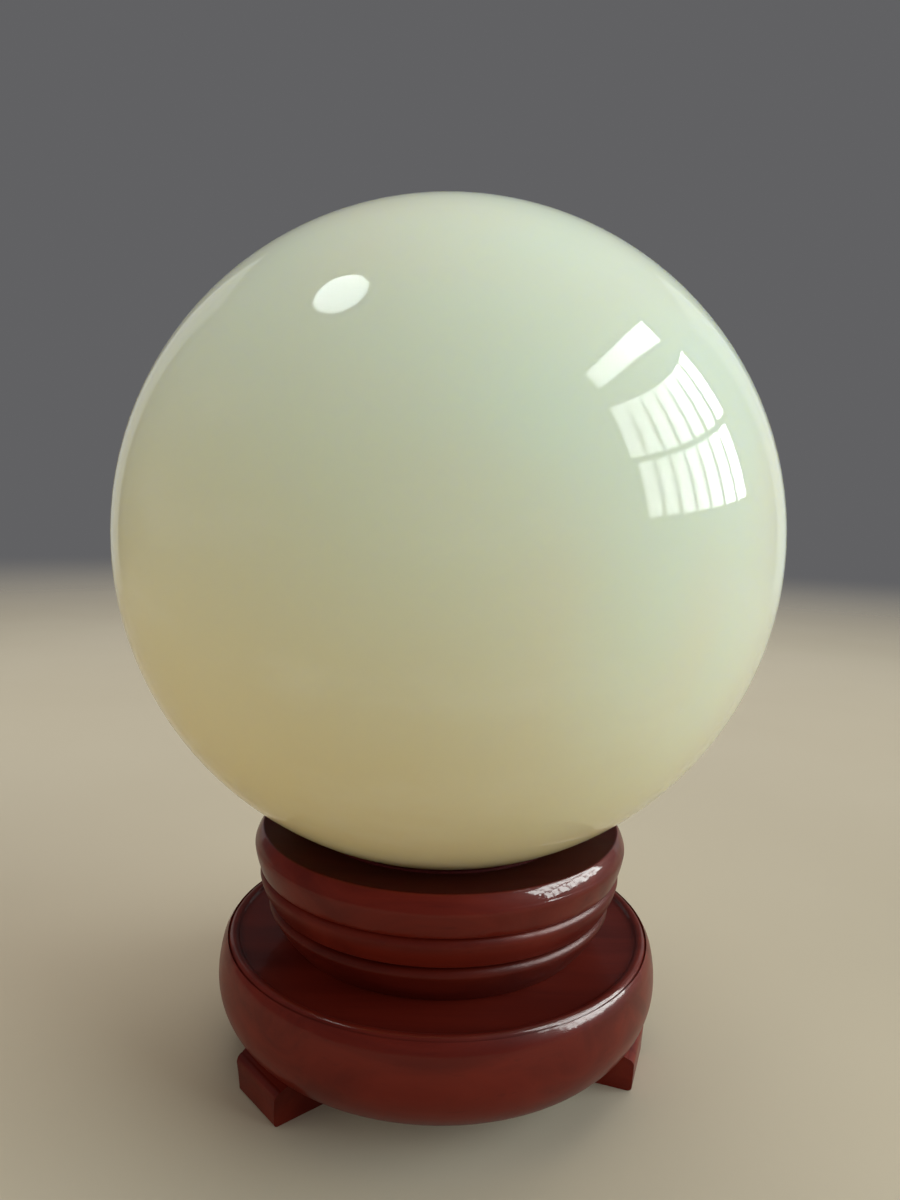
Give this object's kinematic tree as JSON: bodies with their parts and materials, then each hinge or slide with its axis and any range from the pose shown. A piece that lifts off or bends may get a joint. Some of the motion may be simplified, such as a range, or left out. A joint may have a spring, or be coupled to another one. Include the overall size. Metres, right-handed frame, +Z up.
{
  "type": "display sphere on a swivel stand",
  "caption": "Large polished stone sphere resting in a felt-lined cup that swivels on a ball bearing, on a turned wooden base with bracket feet.",
  "frame": {"origin": "on the swivel axis, at the level of the surface the feet stand on", "axes": "+Z up along the swivel axis; -Y towards the front of the stand"},
  "size_m": [0.15, 0.15, 0.198],
  "materials": {
    "polished_stone": "mirror polished, slightly translucent, pale yellow-green",
    "lacquered_wood": "gloss red-brown lacquer",
    "felt": "dark felt",
    "zinc_plate": "zinc-plated pressed sheet",
    "bearing_steel": "polished bearing steel",
    "cage_plastic": "natural nylon",
    "screw_steel": "yellow-passivated steel"
  },
  "bodies": {
    "base": {"base_drum": "lacquered_wood", "plinth_ring": "lacquered_wood", "foot_right": "lacquered_wood", "foot_back": "lacquered_wood", "foot_front_left": "lacquered_wood", "foot_screws": "screw_steel", "bearing_lower_plate": "zinc_plate", "lower_plate_screws": "screw_steel", "bearing_rivet": "zinc_plate"},
    "bearing_set": {"bearing_balls": "bearing_steel", "bearing_cage": "cage_plastic"},
    "cup": {"cup_ring": "lacquered_wood", "cup_disc": "lacquered_wood", "seat_felt": "felt", "bearing_upper_plate": "zinc_plate", "upper_plate_screws": "screw_steel"},
    "ball": {"ball": "polished_stone"}
  },
  "joints": [
    {"name": "cup_swivel", "type": "hinge", "parent": "base", "child": "cup", "pos_m": [0, 0, 0.038], "axis": [0, 0, 1], "continuous": true},
    {"name": "bearing_roll", "type": "hinge", "parent": "base", "child": "bearing_set", "pos_m": [0, 0, 0.0342], "axis": [0, 0, 1], "continuous": true},
    {"name": "ball_lift", "type": "slide", "parent": "cup", "child": "ball", "axis": [0, 0, 1], "range_m": [0, 0.1]}
  ],
  "couplings": [
    {"joint": "bearing_roll", "follows": "cup_swivel", "ratio": 0.5}
  ]
}
